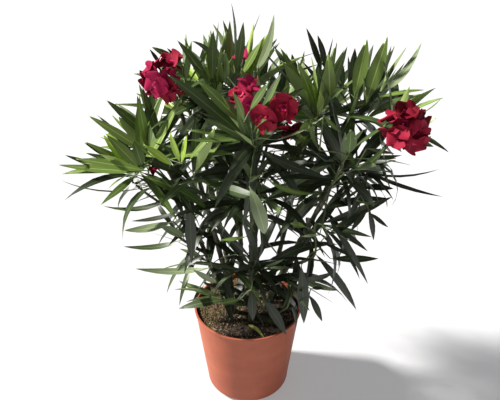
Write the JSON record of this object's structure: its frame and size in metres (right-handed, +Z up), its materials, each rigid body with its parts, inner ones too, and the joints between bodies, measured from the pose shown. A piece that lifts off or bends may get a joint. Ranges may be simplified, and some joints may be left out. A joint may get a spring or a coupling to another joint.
{
  "type": "potted oleander shrub",
  "caption": "Young multi-stemmed oleander with narrow leathery leaves and red flower clusters, in a tapered round nursery pot of compost.",
  "frame": {"origin": "centre of the pot's flat underside, which stands on the ground", "axes": "+Z up along the pot's axis; -Y is the side with the most bloom, and +X is to its right as it is faced"},
  "size_m": [0.729, 0.5505, 0.8482],
  "materials": {
    "pot": "moulded terracotta-coloured plastic, slightly uneven",
    "compost": "crumbly potting compost with moss and grit",
    "bark": "thin grey-green bark",
    "leaf_young": "fresh leaf, satin",
    "leaf_mature": "leathery leaf, satin",
    "leaf_old": "old leathery leaf, satin",
    "blossom": "velvety petal"
  },
  "bodies": {
    "root": {"bough_back_low": "bark", "bough_back_skirt": "bark", "bough_centre_back": "bark", "bough_inner_back": "bark", "bough_inner_front": "bark", "bough_inner_low": "bark", "bough_left_foot": "bark", "bough_left_front": "bark", "bough_left_low": "bark", "bough_left_skirt": "bark", "bough_left_tip": "bark", "bough_right_arm": "bark", "bough_right_front": "bark", "bough_right_skirt": "bark", "bough_right_top": "bark", "bough_top_left": "bark", "compost": "compost", "leaves_back_left": "leaf_mature", "leaves_back_low": "leaf_old", "leaves_back_right": "leaf_mature", "leaves_back_skirt": "leaf_old", "leaves_back_top": "leaf_young", "leaves_centre_back": "leaf_mature", "leaves_centre_bloom": "leaf_mature", "leaves_inner_back": "leaf_old", "leaves_inner_front": "leaf_old", "leaves_inner_low": "leaf_old", "leaves_left_bloom": "leaf_mature", "leaves_left_foot": "leaf_old", "leaves_left_front": "leaf_young", "leaves_left_head": "leaf_mature", "leaves_left_low": "leaf_old", "leaves_left_skirt": "leaf_old", "leaves_left_tip": "leaf_mature", "leaves_right_arm": "leaf_old", "leaves_right_bloom": "leaf_mature", "leaves_right_foot": "leaf_old", "leaves_right_front": "leaf_mature", "leaves_right_head": "leaf_young", "leaves_right_skirt": "leaf_old", "leaves_right_top": "leaf_young", "leaves_top_centre": "leaf_young", "leaves_top_left": "leaf_mature", "pot": "pot", "stem_back": "bark", "stem_back_left": "bark", "stem_back_right": "bark", "stem_centre": "bark", "stem_left": "bark", "stem_left_bloom": "bark", "stem_low": "bark", "stem_right": "bark", "stem_right_bloom": "bark", "stem_top": "bark"}
  },
  "joints": []
}
